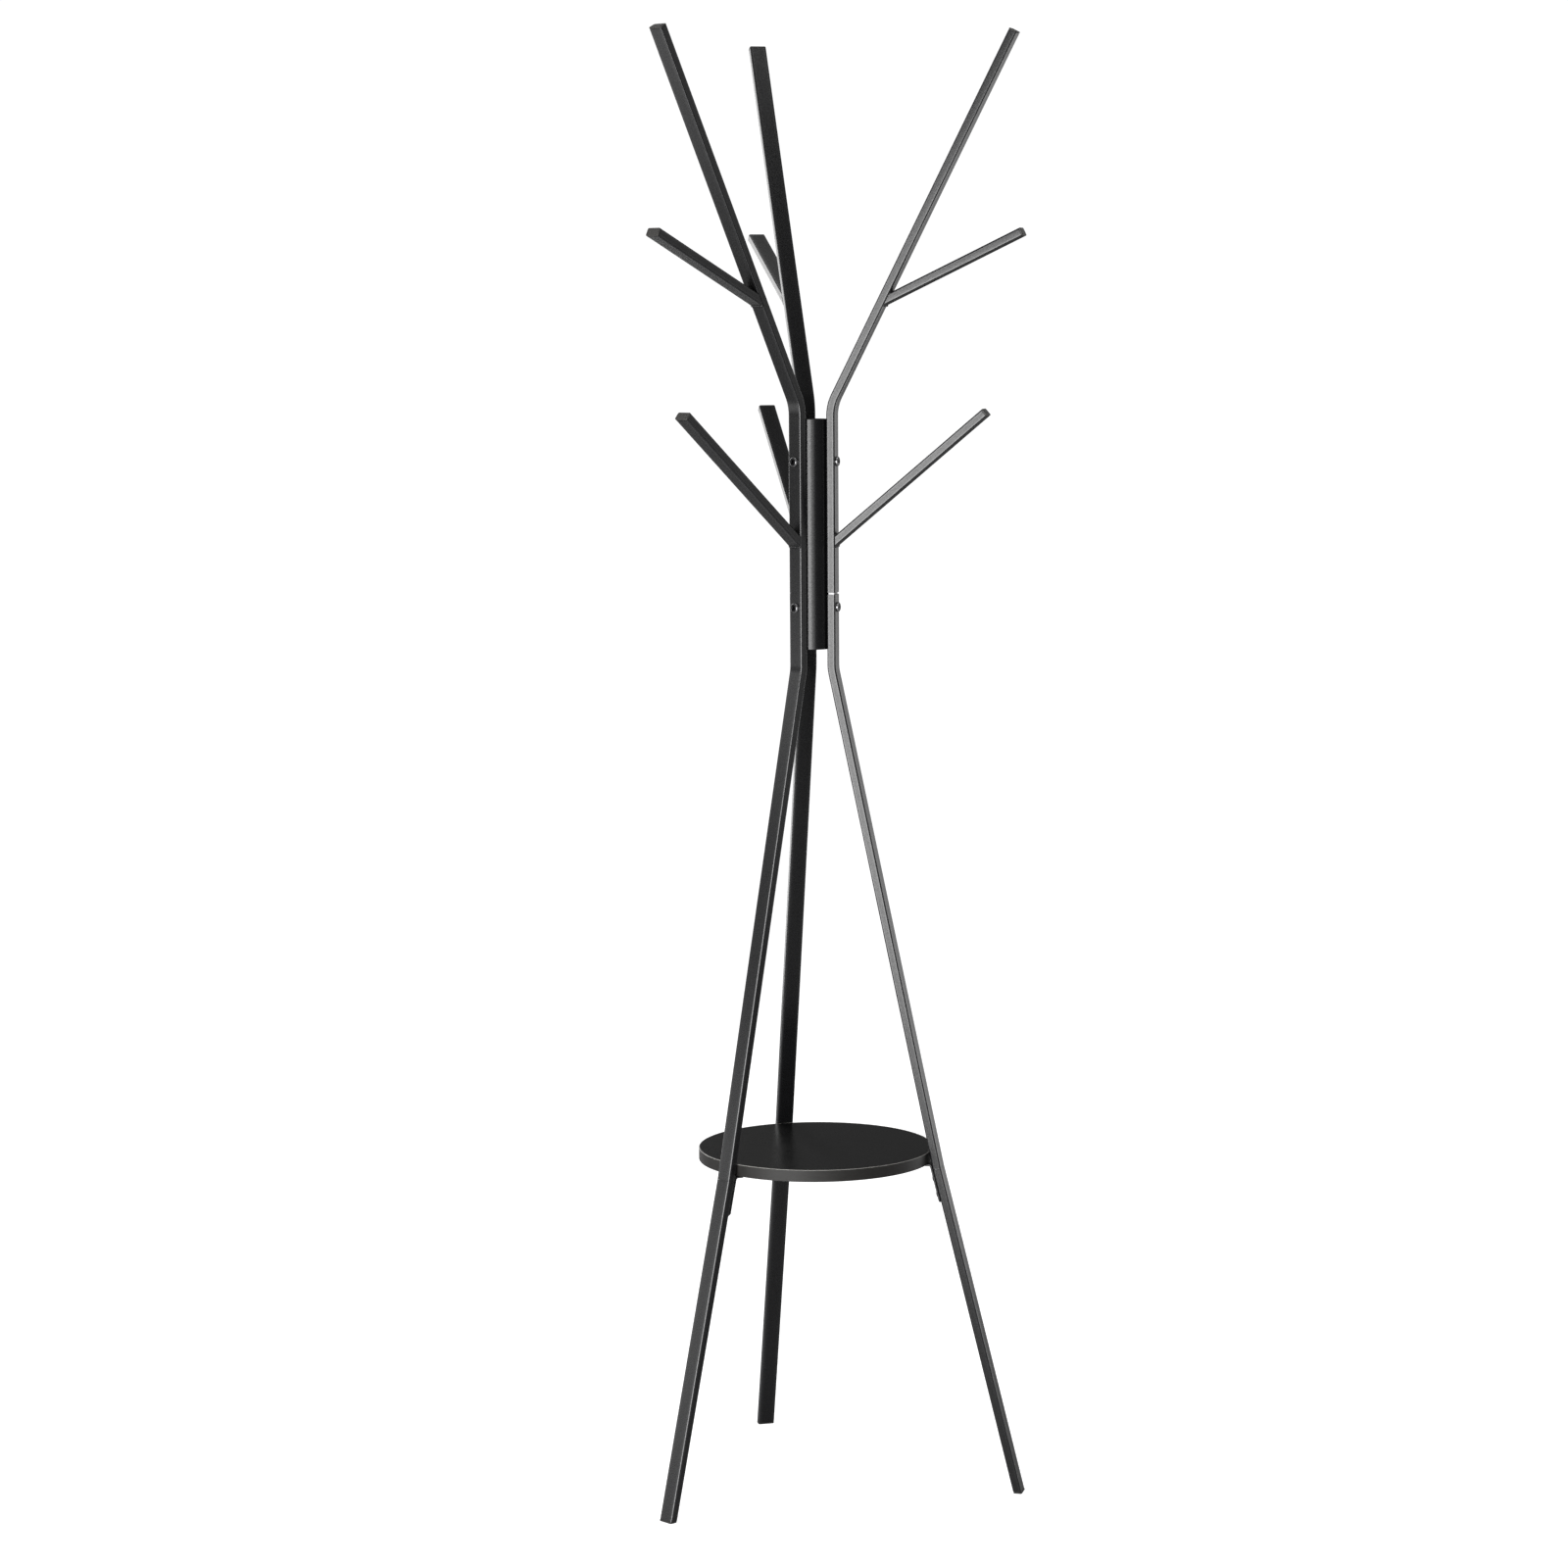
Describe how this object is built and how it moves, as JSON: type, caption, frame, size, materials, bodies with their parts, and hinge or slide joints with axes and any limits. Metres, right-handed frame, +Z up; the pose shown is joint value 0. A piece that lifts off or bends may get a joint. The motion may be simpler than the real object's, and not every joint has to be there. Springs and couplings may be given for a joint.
{
  "type": "coat tree with shelf",
  "caption": "Free-standing metal coat tree: branches with angled hooks above a centre tube, splayed flat-tube legs below, and a round shelf between the legs.",
  "frame": {"origin": "on the floor, under the centre of the object's bounding box; the centre tube's axis is 56.55 mm towards -Y of it", "axes": "+Z up, along the centre tube; the rear arm points along +Y, the left arm towards -X and -Y, the right arm towards +X and -Y"},
  "size_m": [0.4446, 0.3902, 1.7016],
  "materials": {
    "powder_coated_steel": "fine-grained black powder coat, satin",
    "plug_plastic": "moulded black plastic, slightly greyer than the paint",
    "shelf_board": "black laminated board, satin",
    "shelf_edge_band": "dark brown-black plastic edge band, satin",
    "zinc_plated_steel": "bright zinc",
    "blackened_steel": "black zinc, glossy"
  },
  "bodies": {
    "root": {"centre_tube": "powder_coated_steel", "branch_left": "powder_coated_steel", "leg_upper_left": "powder_coated_steel", "leg_lower_left": "powder_coated_steel", "upper_hook_left": "powder_coated_steel", "lower_hook_left": "powder_coated_steel", "shelf_bracket_left": "powder_coated_steel", "arm_insert_left": "zinc_plated_steel", "leg_insert_left": "zinc_plated_steel", "branch_plug_left": "plug_plastic", "upper_hook_plug_left": "plug_plastic", "lower_hook_plug_left": "plug_plastic", "foot_plug_left": "plug_plastic", "branch_bolt_left": "blackened_steel", "leg_bolt_left": "blackened_steel", "branch_nut_left": "zinc_plated_steel", "leg_nut_left": "zinc_plated_steel", "bracket_leg_screw_left_top": "blackened_steel", "bracket_leg_screw_left_bottom": "blackened_steel", "bracket_shelf_screw_left": "blackened_steel", "branch_right": "powder_coated_steel", "leg_upper_right": "powder_coated_steel", "leg_lower_right": "powder_coated_steel", "upper_hook_right": "powder_coated_steel", "lower_hook_right": "powder_coated_steel", "shelf_bracket_right": "powder_coated_steel", "arm_insert_right": "zinc_plated_steel", "leg_insert_right": "zinc_plated_steel", "branch_plug_right": "plug_plastic", "upper_hook_plug_right": "plug_plastic", "lower_hook_plug_right": "plug_plastic", "foot_plug_right": "plug_plastic", "branch_bolt_right": "blackened_steel", "leg_bolt_right": "blackened_steel", "branch_nut_right": "zinc_plated_steel", "leg_nut_right": "zinc_plated_steel", "bracket_leg_screw_right_top": "blackened_steel", "bracket_leg_screw_right_bottom": "blackened_steel", "bracket_shelf_screw_right": "blackened_steel", "branch_rear": "powder_coated_steel", "leg_upper_rear": "powder_coated_steel", "leg_lower_rear": "powder_coated_steel", "upper_hook_rear": "powder_coated_steel", "lower_hook_rear": "powder_coated_steel", "shelf_bracket_rear": "powder_coated_steel", "arm_insert_rear": "zinc_plated_steel", "leg_insert_rear": "zinc_plated_steel", "branch_plug_rear": "plug_plastic", "upper_hook_plug_rear": "plug_plastic", "lower_hook_plug_rear": "plug_plastic", "foot_plug_rear": "plug_plastic", "branch_bolt_rear": "blackened_steel", "leg_bolt_rear": "blackened_steel", "branch_nut_rear": "zinc_plated_steel", "leg_nut_rear": "zinc_plated_steel", "bracket_leg_screw_rear_top": "blackened_steel", "bracket_leg_screw_rear_bottom": "blackened_steel", "bracket_shelf_screw_rear": "blackened_steel", "shelf_board": "shelf_board", "shelf_edge_band": "shelf_edge_band"}
  },
  "joints": []
}
